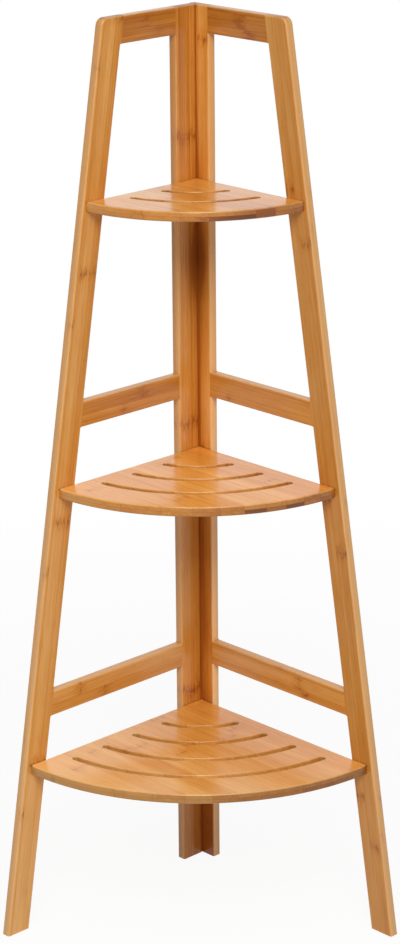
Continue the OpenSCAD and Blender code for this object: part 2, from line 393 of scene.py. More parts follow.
def readJoint(board):
    # the groove of the posts' joint, painted shade beside it and under the top shelf, painted light above
    # two shelves
    fromGroove = board.y - board.given["Groove"]
    fromUnderShelfShade = board.x - jointMarks["stainHeight"]
    board.groove = closeTo(fromGroove, jointMarks["grooveWidth"])
    darkPatch = closeTo(fromGroove, jointMarks["stainWidth"]) * closeTo(fromUnderShelfShade, jointMarks["stainLength"])
    lower = smoothStep(board.x, *jointMarks["shadeTop"], 1.0, 0.0)
    shade = closeTo(fromGroove, jointMarks["shadeWidth"]) * lower
    board.jointTone = (shade + darkPatch * jointMarks["stainTone"]) * board.given["Corner Tone"]
    board.stainShade = darkPatch * board.given["Corner Tone"] * -jointMarks["stainShade"]
    paler = [closeTo(board.x - height, length) for height, length in jointMarks["palerLengths"]]
    board.paler = (paler[0] + paler[1]) * board.given["Paler Lows"]


def bambooTone(board):
    given, tones = board.given, bambooTones
    endContrast = board.endLook * given["End Contrast"]
    board.block = board.stripTone ** 3.0 * endContrast * (1.0 - board.upperPly * bambooMarks["upperBlocks"])
    lowerPly = (1.0 - board.upperPly) * given["Edge Richness"]
    slope = board.x * given["Tone Curve"] + given["Tone Slope"]
    tone = board.x * slope + (board.y * given["Cross Slope"] + given["Tone"])
    tone = tone + (board.stripTone - 0.5) * given["Strip Contrast"]
    tone = tone + (endContrast * tones["endStrips"] + board.block) + lowerPly * tones["lowerPly"]
    tone = tone + (board.broad - 0.5) * tones["broad"] + (board.medium - 0.5) * tones["medium"]
    tone = tone + (board.cloud - 0.5) * tones["cloud"] + board.fibre * tones["fibre"]
    # the joint's painted shade, and the painted light above the lower shelves
    tone = tone + board.groove * tones["groove"] + board.jointTone - board.paler
    tone = tone + board.seam * tones["seam"] + board.plySeam * tones["plySeam"]
    tone = tone + board.knuckleStain * tones["knuckleStain"]
    inputs = {"Vector": vectorMath("MULTIPLY", board.place, endDotScales), "Scale": 1.0}
    dots = wired(board.tree, "ShaderNodeTexVoronoi", inputs, "Distance", feature="F1")
    dot = smoothStep(dots, *bambooMarks["endDots"], 1.0, 0.0)
    return tone + board.endLook * (dot * tones["endDots"] + tones["endGrain"])


def bambooLight(board):
    # three factors on the colour: flat faces, edges and slots differ, and the shelves' edges are richer
    given, shades = board.given, bambooShades
    edge = given["Edge Brightness"] * (1.0 - board.endGrain * shades["endGrain"])
    edge = edge * smoothStep(board.block, *shades["blocks"])
    edge = mixNumber(board.inSlot, edge, board.slotBright)
    bright = mixNumber(board.flat, edge, given["Brightness"])
    # painted shade under the top shelf, beside the posts' joint
    bright = bright * (board.stainShade + 1.0)
    # painted shade on the shelves' rounded rims, most on the undersides and across the grain
    paintedRimShade = (board.upward < 0.0) * shades["lowerRim"] + (board.facing * shades["endRim"] + shades["rim"])
    bright = bright * (1.0 - board.rounding * given["Edge Richness"] * paintedRimShade)
    rich = (1.0 - board.flat) * given["Edge Richness"] * (1.0 - board.inSlot * slotShades["richnessLoss"])
    green = bright * (1.0 - rich * shades["greenLoss"])
    blue = bright * (1.0 - rich * shades["blueLoss"])
    return joinVector(board.tree, bright, green, blue)


def bambooSide(board, tone):
    # narrow sides show the strips edge on, which is paler and greyer than their faces, partly by painted
    # light
    # Side Slope paints light along the board, and Inner Side paints it towards the frame's inner face
    sideTone = board.x * board.given["Side Slope"] + tone * bambooShades["sideTone"]
    shade = mixColor(sideTone, bambooHues["side"], bambooHues["middle"])
    inward = board.z * board.given["Inner Side"]
    bright = inward * bambooShades["sideRise"] + board.given["Side Brightness"]
    return vectorMath("MULTIPLY", shade, joinVector(board.tree, bright, bright, bright))


def bambooPattern():
    # x runs along the grain, y across it, z through the board
    inputs = {
        "Vector": "NodeSocketVector",
        "Normal": "NodeSocketVector",
        "Along": (1, 0, 0),
        "Through": (0, 0, 1),
        "Seed": 0.0,
        "Tone": 0.42,
        "Tone Slope": 0.0,
        "Tone Curve": 0.0,
        "Cross Slope": 0.0,
        "Brightness": 1.0,
        "Edge Brightness": 1.0,
        "Slot Brightness": 1.0,
        "Edge Richness": 0.0,
        "Side Paleness": 0.6,
        "Side Slope": 0.0,
        "Side Brightness": 1.0,
        "Inner Side": 0.0,
        "Strip Width": 0.02,
        "Strip Shift": 0.0,
        "Ply Shift": 0.0,
        "Strip Contrast": 0.2,
        "End Contrast": 0.5,
        "Knuckle Spacing": 0.3,
        "Knuckle Shift": 0.0,
        "Knuckle Scatter": 0.1,
        "Knuckle Strength": 1.0,
        "Groove": -1.0,
        "Corner Tone": 0.0,
        "Paler Lows": 0.0,
        "Slot Reach": 0.0,
    }
    outputs = {"Color": "NodeSocketColor", "Roughness": "NodeSocketFloat", "Height": "NodeSocketFloat"}
    tree, given, end = groupTree("bambooPattern", "ShaderNodeTree", inputs, outputs)
    board = SimpleNamespace(tree=tree, given=given)
    board.x, board.y, board.z = given["Vector"].split()
    for read in (readStrips, readFibres, readKnuckles, readFaces, readSlots, readJoint):
        read(board)

    tone = bambooTone(board)
    ramp = colorRamp(tone, bambooHues["pale"], bambooHues["deep"])
    ramp.color_ramp.elements.new(middleHueTone).color = bambooHues["middle"]
    color = vectorMath("MULTIPLY", Wire(ramp, "Color"), bambooLight(board))
    color = mixColor(board.knuckleLine * bambooMarks["knuckleShare"], color, bambooHues["knuckle"])
    side = smoothStep(board.lean, *bambooMarks["narrowSide"], 1.0, 0.0) * (1.0 - board.endGrain)
    color = mixColor(side * given["Side Paleness"], color, bambooSide(board, tone))

    # rounded edges turn a little paler, unevenly: rubbed lacquer and a painted highlight
    patchy = stretchedNoise(board.place, *bambooNoises["rubbing"])
    wearAndHighlight = board.rounding * smoothStep(patchy, *noiseSpan, *bambooMarks["rubbedShares"])
    wearAndHighlight = wearAndHighlight * (1.0 - board.inSlot * slotShades["rubbingLoss"])
    color = mixColor(wearAndHighlight, color, bambooHues["rubbed"])

    surface = bambooSurface
    roughness = board.fibre * surface["fibreRoughness"] + surface["roughness"]
    roughness = roughness + (board.cloud - 0.5) * surface["cloudRoughness"]
    roughness = roughness + (wearAndHighlight + board.endGrain) * surface["wearRoughness"]
    height = board.fibre * surface["fibreHeight"] + board.medium * surface["mediumHeight"]
    height = height + (board.seam + board.plySeam) * surface["seamHeight"]
    height = height + (board.knuckleLine + board.knuckleStain) * surface["knuckleHeight"]
    feed(end, {"Color": color, "Roughness": roughness, "Height": height})
    return tree


bambooTree = bambooPattern()


def newMaterial(name):
    material = bpy.data.materials.new(name)
    material.use_nodes = True
    tree = material.node_tree
    return material, tree, tree.nodes["Principled BSDF"]


def relief(height, strength, distance):
    inputs = {"Height": height, "Strength": strength, "Distance": distance}
    return wired(height.tree, "ShaderNodeBump", inputs)


lacquer = {
    "index": 1.5,
    "woodSpecular": 0.15,
    "reliefStrength": 0.12,
    "reliefDepth": 0.0004,
}


def lacqueredBamboo(name, centre, along, across, pattern, coat):
    through = along.cross(across)
    turn = Matrix((along, across, through)).transposed().to_euler()
    material, tree, shader = newMaterial(name)
    coordinates = addNode(tree, "ShaderNodeTexCoord")
    inputs = {"Vector": Wire(coordinates, "Object"), "Location": centre, "Rotation": turn}
    place = wired(tree, "ShaderNodeMapping", inputs, vector_type="TEXTURE")
    inputs = {"Vector": place, "Normal": Wire(coordinates, "Normal"), "Along": along, "Through": through}
    bamboo = addNode(tree, "ShaderNodeGroup", node_tree=bambooTree)
    feed(bamboo, {**inputs, **pattern})
    feed(shader, {
        "Base Color": Wire(bamboo, "Color"),
        "Roughness": Wire(bamboo, "Roughness"),
        "Normal": relief(Wire(bamboo, "Height"), lacquer["reliefStrength"], lacquer["reliefDepth"]),
        "IOR": lacquer["index"],
        "Specular IOR Level": lacquer["woodSpecular"],
        "Coat Weight": coat["weight"],
        "Coat Roughness": coat["roughness"],
        "Coat IOR": lacquer["index"],
    })
    return material


# Plain turned hardwood of the dowels
beech = {
    "pale": (0.72, 0.50, 0.27, 1),
    "deep": (0.46, 0.27, 0.12, 1),
    "flecks": ((420, 420, 900), 3.0, 0.6),      # scales, detail and roughness of the noise
    "tint": ((30, 30, 60), 2.0, 0.5),
    "fleckContrast": 0.6,
    "roughness": (0.55, 0.70),
    "reliefStrength": 0.2,
    "reliefDepth": 0.0002,
}


def beechMaterial():
    material, tree, shader = newMaterial("dowelBeech")
    place = wired(tree, "ShaderNodeTexCoord", output="Object")
    flecks = stretchedNoise(place, *beech["flecks"])
    tone = (flecks - 0.5) * beech["fleckContrast"] + stretchedNoise(place, *beech["tint"])
    feed(shader, {
        "Base Color": Wire(colorRamp(tone, beech["pale"], beech["deep"]), "Color"),
        "Roughness": smoothStep(flecks, *noiseSpan, *beech["roughness"]),
        "Normal": relief(flecks, beech["reliefStrength"], beech["reliefDepth"]),
    })
    return material


# Bright zinc-plated steel of the screws, with faint cloudy patches and fine scratches
zinc = {
    "dull": (0.48, 0.49, 0.51, 1),
    "bright": (0.74, 0.73, 0.70, 1),
    "clouds": ((260, 260, 260), 3.0, 0.5),      # scales, detail and roughness of the noise
    "scratches": ((900, 900, 5200), 2.0, 0.7),
    "roughness": (0.16, 0.28),
    "scratchRoughness": 0.22,
    "reliefStrength": 0.12,
    "reliefDepth": 0.00005,
}


def zincMaterial():
    material, tree, shader = newMaterial("screwZinc")
    place = wired(tree, "ShaderNodeTexCoord", output="Object")
    clouds = stretchedNoise(place, *zinc["clouds"])
    scratches = stretchedNoise(place, *zinc["scratches"])
    wear = scratches * zinc["scratchRoughness"] + smoothStep(clouds, *noiseSpan, *zinc["roughness"])
    feed(shader, {
        "Base Color": Wire(colorRamp(clouds, zinc["dull"], zinc["bright"]), "Color"),
        "Roughness": wear,
        "Normal": relief(scratches, zinc["reliefStrength"], zinc["reliefDepth"]),
        "Metallic": 1.0,
    })
    return material


# Helpers for pieces

def camelName(node):
    first, *rest = node.split("_")
    return first + "".join(word.capitalize() for word in rest)


def plainMesh(piece):
    # bakes the piece's modifiers into its mesh
    result = bpy.data.meshes.new_from_object(piece.evaluated_get(bpy.context.evaluated_depsgraph_get()))
    piece.modifiers.clear()
    piece.data = result
    return piece


def smoothFaces(mesh, sharpAngle):
    mesh.shade_smooth()
    mesh.set_sharp_from_angle(angle=sharpAngle)


def dress(piece, node):
    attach(piece, "root")
    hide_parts(node)
    return piece


# Frame boards

frameBoards = {
    "footReach": 0.342,         # of the legs from the corner, at the floor
    "topReach": 0.159,          # and at the top
    "memberWidth": 0.0325,
    "sharpAngle": math.radians(32),
    "flatWeight": 100,          # of flat faces in the shading, where 50 is neutral
    "coat": {"weight": 0.5, "roughness": 0.22},
    "pattern": {"Strip Width": 0.0172, "Strip Shift": 0.0013, "Ply Shift": 0.004, "Strip Contrast": 0.22,
                "End Contrast": 0.25},
}
rake = math.atan((frameBoards["footReach"] - frameBoards["topReach"]) / frameHeight)
wallRuns = {"left": Vector((0, -1, 0)), "right": Vector((1, 0, 0))}   # away from the corner along each wall
up = Vector((0, 0, 1))

# Knuckle places, strips and tones differ from board to board, and follow the marks that the photo shows
boardPatterns = {
    "left_front_leg": {
        "Seed": 1.7, "Tone": 0.27, "Tone Slope": 0.25, "Side Brightness": 0.8, "Side Slope": 0.5,
        "Knuckle Spacing": 0.30, "Knuckle Shift": 0.156},
    "right_front_leg": {
        "Seed": 4.1, "Tone": 0.26, "Brightness": 0.89, "Side Brightness": 0.77, "Side Slope": 0.4,
        "Knuckle Spacing": 0.37, "Knuckle Shift": 0.19},
    "left_back_post": {
        "Seed": 2.9, "Tone": 0.27, "Tone Slope": 0.15, "Tone Curve": 1.0, "Brightness": 1.06,
        "Side Brightness": 0.82, "Side Slope": 1.3, "Corner Tone": 0.45,
        "Knuckle Spacing": 0.355, "Knuckle Shift": 0.133},
    # right post: tone slope and curve paint shade lower down; the lengths above the lower shelves are
    # painted light
    "right_back_post": {
        "Seed": 7.3, "Tone": 0.57, "Tone Slope": -0.7, "Tone Curve": 0.6, "Brightness": 1.10,
        "Side Brightness": 1.03, "Side Slope": 1.1, "Side Paleness": 1.0, "Corner Tone": 0.50,
        "Paler Lows": 0.35, "Knuckle Spacing": 0.507, "Knuckle Shift": 0.17},
    "left_top_rail": {
        "Seed": 3.3, "Tone": 0.74, "Knuckle Spacing": 0.45, "Knuckle Shift": 0.2, "Knuckle Strength": 0.4},
    "right_top_rail": {
        "Seed": 5.9, "Tone": 0.88, "Knuckle Spacing": 0.30, "Knuckle Shift": 0.112},
    "left_mid_rail": {
        "Seed": 8.2, "Tone": 0.60, "Brightness": 1.04, "Knuckle Spacing": 0.34, "Knuckle Shift": 0.12,
        "Knuckle Strength": 0.6},
    "right_mid_rail": {
        "Seed": 9.6, "Tone": 0.41, "Knuckle Spacing": 0.5, "Knuckle Shift": 0.3, "Knuckle Strength": 0.6},
    "left_low_rail": {
        "Seed": 6.4, "Tone": 0.26, "Knuckle Spacing": 0.36, "Knuckle Shift": 0.092},
    "right_low_rail": {
        "Seed": 10.8, "Tone": 0.30, "Knuckle Spacing": 0.33, "Knuckle Shift": 0.095},
}


def boardAxes(node):
    # centre, direction along the grain and direction across it
    run = wallRuns[node.split("_")[0]]
    low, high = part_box(node)
    centre = (low + high) / 2
    if "leg" in node:
        widthAlongWall = frameBoards["memberWidth"] / math.cos(rake)
        middle = (frameBoards["footReach"] + frameBoards["topReach"] - widthAlongWall) / 2
        onWall = outerCorner + run * middle + up * (frameHeight / 2)
        depth = up.cross(run)
        centre = onWall + depth * (centre - onWall).dot(depth)
        return centre, up * math.cos(rake) - run * math.sin(rake), run * math.cos(rake) + up * math.sin(rake)
    if "post" in node:
        return centre, up, run
    return centre, run, up


def boardPattern(node, centre, across):
    pattern = {**frameBoards["pattern"], **boardPatterns[node]}
    if "post" in node:
        pattern["Groove"] = (innerCorner - centre).dot(across)
    if "rail" not in node:
        # the left frame's inner face looks along its through axis, the right frame's against it
        pattern["Inner Side"] = 1.0 if "left" in node else -1.0
    return pattern


def frameBoard(node):
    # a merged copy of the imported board, with round edges shaded smooth and flat faces flat
    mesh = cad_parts[node].data.copy()
    if "custom_normal" in mesh.attributes:
        mesh.attributes.remove(mesh.attributes["custom_normal"])
    shape = bmesh.new()
    shape.from_mesh(mesh)
    bmesh.ops.remove_doubles(shape, verts=shape.verts, dist=weldDistance)
    shape.to_mesh(mesh)
    shape.free()
    smoothFaces(mesh, frameBoards["sharpAngle"])
    board = bpy.data.objects.new(camelName(node), mesh)
    scene.collection.objects.link(board)
    weighted = board.modifiers.new("flatFaces", "WEIGHTED_NORMAL")
    weighted.weight = frameBoards["flatWeight"]
    weighted.keep_sharp = True
    plainMesh(board)
    centre, along, across = boardAxes(node)
    pattern = boardPattern(node, centre, across)
    bamboo = lacqueredBamboo(camelName(node) + "Bamboo", centre, along, across, pattern, frameBoards["coat"])
    board.data.materials.clear()
    board.data.materials.append(bamboo)
    return dress(board, node)


for node in boardPatterns:
    frameBoard(node)
print("frame boards:", len(boardPatterns))


# Shelves: a Geometry Nodes tree draws the quarter disc and its slots from their sizes

shelfSlots = {
    "slotWidth": 0.008,
    "frontGap": 0.051,          # from the front edge to the outer slot's middle line
    "pitch": 0.049,
    "endGap": 0.020,            # from the straight edges to the slots' ends
    "counts": {"top_shelf": 2, "middle_shelf": 3, "bottom_shelf": 4},
    "edgeRadius": 0.002,
    "slotRimRadius": 0.0015,
    "arcPoints": 97,
    "pointsPerSide": 36,        # on each side and each end of a slot
    "rimSegments": 4,
    "rimAngle": math.radians(60),
    "sharpAngle": math.radians(40),
    "coat": {"weight": 0.8, "roughness": 0.19},
    "pattern": {"Strip Width": 0.0237, "Strip Contrast": 0.2, "Side Paleness": 0.0, "End Contrast": 1.0,
                "Slot Brightness": 0.8, "Edge Richness": 1.0, "Knuckle Scatter": 0.25,
                "Knuckle Strength": 0.55},
}
quarter = math.pi / 2


def slotPoints(tree, start, slotRadius):
    # where the points of a long loop lie: two sides and two half rounds, bent round the corner
    halfWidth = start["Slot Width"] * 0.5
    endAngle = ((start["End Gap"] + halfWidth) / slotRadius).math("ARCSINE")
    halfSweep = quarter / 2 - endAngle
    # quarters runs from 0 to 4 round the loop
    quarters = wired(tree, "GeometryNodeInputIndex") / start["Points per Side"]
    parts = [quarters.math("SUBTRACT", back, clamp=True) for back in (0.0, 1.0, 2.0, 3.0)]
    slide = parts[1] - parts[3]
    turn = (parts[0] + parts[2] - 0.5) * math.pi
    middleAngle = halfSweep * (slide * -2.0 + 1.0)
    capAngle = turn.math("COSINE") * halfWidth / slotRadius
    angle = middleAngle + capAngle + -quarter / 2
    reach = slotRadius + turn.math("SINE") * halfWidth
    return joinVector(tree, reach * angle.math("COSINE"), reach * angle.math("SINE"), 0.0)


def slottedOutline(tree, start):
    inputs = {"Resolution": start["Arc Points"], "Radius": start["Radius"], "Start Angle": -quarter,
              "Sweep Angle": quarter, "Connect Center": True}
    outline = wired(tree, "GeometryNodeCurveArc", inputs, mode="RADIUS")

    # the zone adds one slot on each turn
    zoneIn = tree.nodes.new("GeometryNodeRepeatInput")
    zoneOut = tree.nodes.new("GeometryNodeRepeatOutput")
    zoneIn.pair_with_output(zoneOut)
    feed(zoneIn, {"Iterations": start["Slots"], "Geometry": outline})
    slotRadius = start["Radius"] - start["Front Gap"] - Wire(zoneIn, "Iteration") * start["Pitch"]
    inputs = {"Resolution": start["Points per Side"] * 4.0, "Radius": 1.0}
    loop = wired(tree, "GeometryNodeCurvePrimitiveCircle", inputs, mode="RADIUS")
    inputs = {"Geometry": loop, "Position": slotPoints(tree, start, slotRadius)}
    joined = addNode(tree, "GeometryNodeJoinGeometry", {0: wired(tree, "GeometryNodeSetPosition", inputs)})
    feed(joined, {0: Wire(zoneIn, "Geometry")})
    feed(zoneOut, {"Geometry": Wire(joined)})
    return Wire(zoneOut, "Geometry")


def thickSheet(tree, outline, thickness):
    # the outline filled, with the slots left open, and given its thickness
    sheet = wired(tree, "GeometryNodeFillCurve", {"Curve": outline}, mode="NGONS")
    inputs = {"Mesh": sheet, "Offset": joinVector(tree, 0.0, 0.0, thickness), "Offset Scale": 1.0,
              "Individual": False}
    both = addNode(tree, "GeometryNodeJoinGeometry",
                   {0: wired(tree, "GeometryNodeExtrudeMesh", inputs, mode="FACES")})
    feed(both, {0: wired(tree, "GeometryNodeFlipFaces", {"Mesh": sheet})})
    return wired(tree, "GeometryNodeMergeByDistance", {"Geometry": Wire(both), "Distance": weldDistance})


def rimWeight(tree, start):
    # how far each level rim is to be rounded: the slots' rims a little less than the outer ones
    ends = addNode(tree, "GeometryNodeInputMeshEdgeVertices")
    edge = vectorMath("SUBTRACT", Wire(ends, "Position 1"), Wire(ends, "Position 2"))
    level = abs(edge.split()[2]) < levelWithin
    bend = wired(tree, "GeometryNodeInputMeshEdgeAngle", output="Unsigned Angle")
    rim = level * (bend > shelfSlots["rimAngle"])
    x, y = wired(tree, "GeometryNodeInputPosition").split()[:2]
    away = (x ** 2.0 + y ** 2.0).math("SQRT")
    inside = away < start["Radius"] - start["Front Gap"] * 0.5
    halfGap = start["End Gap"] * 0.5
    slotRim = inside * ((y < halfGap * -1.0) * (x > halfGap))
    return rim * (slotRim * (start["Slot Rim Share"] - 1.0) + 1.0)


def shapeTree(name, inputs):
    # a tree for a modifier that makes or places a shape and gives it its material
    inputs = {"Geometry": "NodeSocketGeometry", **inputs, "Material": "NodeSocketMaterial"}
    tree, start, end = groupTree(name, "GeometryNodeTree", inputs, {"Geometry": "NodeSocketGeometry"})
    tree.is_modifier = True
    return tree, start, end


def paint(tree, start, end, geometry):
    real = wired(tree, "GeometryNodeRealizeInstances", {"Geometry": geometry})
    painted = wired(tree, "GeometryNodeSetMaterial", {"Geometry": real, "Material": start["Material"]})
    feed(end, {"Geometry": painted})


def shelfTree():
    inputs = {
        "Corner": "NodeSocketVector",
        "Radius": 0.2,
        "Thickness": 0.012,
        "Slots": 2,
        "Slot Width": shelfSlots["slotWidth"],
        "Front Gap": shelfSlots["frontGap"],
        "Pitch": shelfSlots["pitch"],
        "End Gap": shelfSlots["endGap"],
        "Slot Rim Share": shelfSlots["slotRimRadius"] / shelfSlots["edgeRadius"],
        "Arc Points": shelfSlots["arcPoints"],
        "Points per Side": shelfSlots["pointsPerSide"],
    }
    tree, start, end = shapeTree("slottedShelf", inputs)
    closed = thickSheet(tree, slottedOutline(tree, start), start["Thickness"])
    inputs = {"Geometry": closed, "Name": "bevel_weight_edge", "Value": rimWeight(tree, start)}
    weighted = wired(tree, "GeometryNodeStoreNamedAttribute", inputs, data_type="FLOAT", domain="EDGE")
    placed = wired(tree, "GeometryNodeTransform", {"Geometry": weighted, "Translation": start["Corner"]})
    paint(tree, start, end, placed)
    return tree


def setInputs(modifier, values):
    for item in modifier.node_group.interface.items_tree:
        if item.item_type == "SOCKET" and item.in_out == "INPUT" and item.name in values:
            modifier[item.identifier] = values[item.name]


def treePiece(name, tree, values, mesh=None):
    # an object whose mesh a tree makes, as a plain mesh
    piece = bpy.data.objects.new(name, mesh or bpy.data.meshes.new(name))
    modifier = piece.modifiers.new("shape", "NODES")
    modifier.node_group = tree
    setInputs(modifier, values)
    scene.collection.objects.link(piece)
    return plainMesh(piece)


# The seeds of the top and middle shelf put the dark blocks on their front edges about where the photo
# shows them
# Cross Slope makes each shelf paler towards the left frame, a painted reflection
shelfPatterns = {
    "top_shelf": {
        "Seed": 609.7, "Strip Shift": -0.005, "Tone": 0.44, "Tone Slope": 0.8, "Cross Slope": 1.0,
        "Brightness": 1.26, "Edge Brightness": 0.87, "Knuckle Spacing": 0.26, "Knuckle Shift": 0.03},
    "middle_shelf": {
        "Seed": 619.0, "Tone": 0.50, "Cross Slope": 1.2, "Brightness": 1.45, "Edge Brightness": 0.85,
        "Slot Brightness": 0.9, "Knuckle Spacing": 0.31, "Knuckle Shift": 0.12},
    "bottom_shelf": {
        "Seed": 8.8, "End Contrast": 0.12, "Tone": 0.46, "Tone Slope": 2.1, "Tone Curve": -8.0,
        "Cross Slope": 2.2, "Brightness": 1.30, "Edge Brightness": 0.66, "Slot Brightness": 0.94,
        "Knuckle Spacing": 0.28, "Knuckle Shift": 0.2},
}
slottedShelf = shelfTree()


def roundRims(shelf):
    bevel = shelf.modifiers.new("roundRims", "BEVEL")
    bevel.limit_method = "WEIGHT"
    bevel.width = shelfSlots["edgeRadius"]
    bevel.segments = shelfSlots["rimSegments"]
    bevel.harden_normals = True
    bevel.loop_slide = False
    bevel.use_clamp_overlap = False
    smoothFaces(shelf.data, shelfSlots["sharpAngle"])
    plainMesh(shelf)


def cornerShelf(node):
    low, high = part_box(node)
    radius = high.x - low.x
    centre = Vector((low.x, high.y, (low.z + high.z) / 2))
    reach = radius - shelfSlots["frontGap"] / 2
    pattern = {**shelfSlots["pattern"], "Slot Reach": reach, **shelfPatterns[node]}
    along, across = Vector((1, 0, 0)), Vector((0, 1, 0))
    bamboo = lacqueredBamboo(camelName(node) + "Bamboo", centre, along, across, pattern, shelfSlots["coat"])
    shelf = treePiece(camelName(node), slottedShelf, {
        "Corner": Vector((low.x, high.y, low.z)),
        "Radius": radius,
        "Thickness": high.z - low.z,
        "Slots": shelfSlots["counts"][node],
        "Material": bamboo,
    })
    roundRims(shelf)
    return dress(shelf, node)


for node in shelfPatterns:
    cornerShelf(node)
print("shelves:", len(shelfPatterns))


# Dowels and screws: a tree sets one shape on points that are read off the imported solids

smallSharpAngle = math.radians(30)


def solidsOf(node):
    # both corners of the box round each separate solid in a CAD node
    shape = bmesh.new()
    shape.from_mesh(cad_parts[node].data)
    bmesh.ops.remove_doubles(shape, verts=shape.verts, dist=weldDistance)
    left = set(shape.verts)
    solids = []
    while left:
        stack = [left.pop()]
        found = []
        while stack:
            vert = stack.pop()
            found.append(vert.co.copy())
            for edge in vert.link_edges:
                other = edge.other_vert(vert)
                if other in left:
                    left.remove(other)
                    stack.append(other)
        low = Vector([min(point[axis] for point in found) for axis in range(3)])
        high = Vector([max(point[axis] for point in found) for axis in range(3)])
        solids.append((low, high))
    shape.free()
    return sorted(solids, key=lambda solid: tuple(solid[0]))


def pointCloud(name, places, directions):
    mesh = bpy.data.meshes.new(name)
    mesh.from_pydata([tuple(place) for place in places], [], [])
    attribute = mesh.attributes.new("direction", "FLOAT_VECTOR", "POINT")
    for item, direction in zip(attribute.data, directions):
        item.vector = direction
    return mesh


def setOnPoints(tree, start, end, shape):
    direction = wired(tree, "GeometryNodeInputNamedAttribute", {"Name": "direction"}, "Attribute",
                      data_type="FLOAT_VECTOR")
    rotation = wired(tree, "FunctionNodeAlignRotationToVector", {"Vector": direction}, axis="Z")
    inputs = {"Points": start["Geometry"], "Instance": shape, "Rotation": rotation}
    paint(tree, start, end, wired(tree, "GeometryNodeInstanceOnPoints", inputs))


dowelSizes = {
    "diameter": 0.006,
    "chamfer": 0.0008,
    "fluteDepth": 0.00018,
    "flutes": 18,
    "pointsPerFlute": 4.0,
    "lengthSegments": 12,
    "endSegments": 3,
}


def dowelTree():
    inputs = {
        "Length": 0.026,
        "Diameter": dowelSizes["diameter"],
        "Chamfer": dowelSizes["chamfer"],
        "Flute Depth": dowelSizes["fluteDepth"],
        "Flutes": dowelSizes["flutes"],
    }
    tree, start, end = shapeTree("flutedDowel", inputs)
    radius = start["Diameter"] * 0.5
    inputs = {"Vertices": start["Flutes"] * dowelSizes["pointsPerFlute"], "Radius": radius,
              "Depth": start["Length"], "Side Segments": dowelSizes["lengthSegments"],
              "Fill Segments": dowelSizes["endSegments"]}
    rod = wired(tree, "GeometryNodeMeshCylinder", inputs, "Mesh", fill_type="NGON")
    place = wired(tree, "GeometryNodeInputPosition")
    x, y, z = place.split()
    wave = (y.math("ARCTAN2", x) * start["Flutes"]).math("COSINE") * 0.5 + 0.5
    toEnd = start["Length"] * 0.5 - abs(z)
    cut = (start["Chamfer"] - toEnd).math("MAXIMUM", 0.0)
    thinner = (radius - (cut + wave * start["Flute Depth"])) / radius
    shaped = vectorMath("MULTIPLY", place, joinVector(tree, thinner, thinner, 1.0))
    dowel = wired(tree, "GeometryNodeSetPosition", {"Geometry": rod, "Position": shaped})
    setOnPoints(tree, start, end, dowel)
    return tree


screwSizes = {
    "shankDiameter": 0.004,
    "headDiameter": 0.008,
    "pointLength": 0.004,
    "threadPitch": 0.0018,
    "threadShare": 0.6,         # of the length that is threaded
    "coreShare": 0.72,          # of the shank, inside the thread
    "tipShare": 0.985,          # of the core, where the point starts
    "recessLength": 0.0044,
    "recessWidth": 0.001,
    "recessDepth": 0.0014,
    "sink": 0.0003,             # of each part into the one before
    "sides": 40,
    "stepsPerTurn": 28,
    "ridgeSides": 3,
}


def screwCone(tree, lowRadius, highRadius, low, high):
    inputs = {"Vertices": screwSizes["sides"], "Radius Top": highRadius, "Radius Bottom": lowRadius,
              "Depth": mathNode(tree, "SUBTRACT", high, low)}
    cone = wired(tree, "GeometryNodeMeshCone", inputs, "Mesh", fill_type="NGON")
    return liftedPart(tree, cone, low)


def liftedPart(tree, part, height):
    lift = joinVector(tree, 0.0, 0.0, height)
    return wired(tree, "GeometryNodeTransform", {"Geometry": part, "Translation": lift})


def screwHead(tree, start, head, shank):
    # a cone with its cross recess cut out
    cone = screwCone(tree, head, shank, 0.0, head - shank)
    carved = addNode(tree, "GeometryNodeMeshBoolean", {"Mesh 1": cone},
                     operation="DIFFERENCE", solver="EXACT")
    depth = start["Recess Depth"] * 2.0
    length, width = start["Recess Length"], start["Recess Width"]
    for size in ((length, width), (width, length)):
        bar = wired(tree, "GeometryNodeMeshCube", {"Size": joinVector(tree, *size, depth)})
        feed(carved, {"Mesh 2": bar})
    return Wire(carved, "Mesh")


def screwThread(tree, start, shank, core, threadStart, pointStart):
    length = pointStart - threadStart
    inputs = {"Resolution": screwSizes["stepsPerTurn"], "Rotations": length / start["Thread Pitch"],
              "Start Radius": core, "End Radius": core, "Height": length}
    helix = wired(tree, "GeometryNodeCurveSpiral", inputs)
    inputs = {"Resolution": screwSizes["ridgeSides"], "Radius": shank - core}
    ridge = wired(tree, "GeometryNodeCurvePrimitiveCircle", inputs, mode="RADIUS")
    inputs = {"Curve": helix, "Profile Curve": ridge, "Fill Caps": True}
    return liftedPart(tree, wired(tree, "GeometryNodeCurveToMesh", inputs), threadStart)


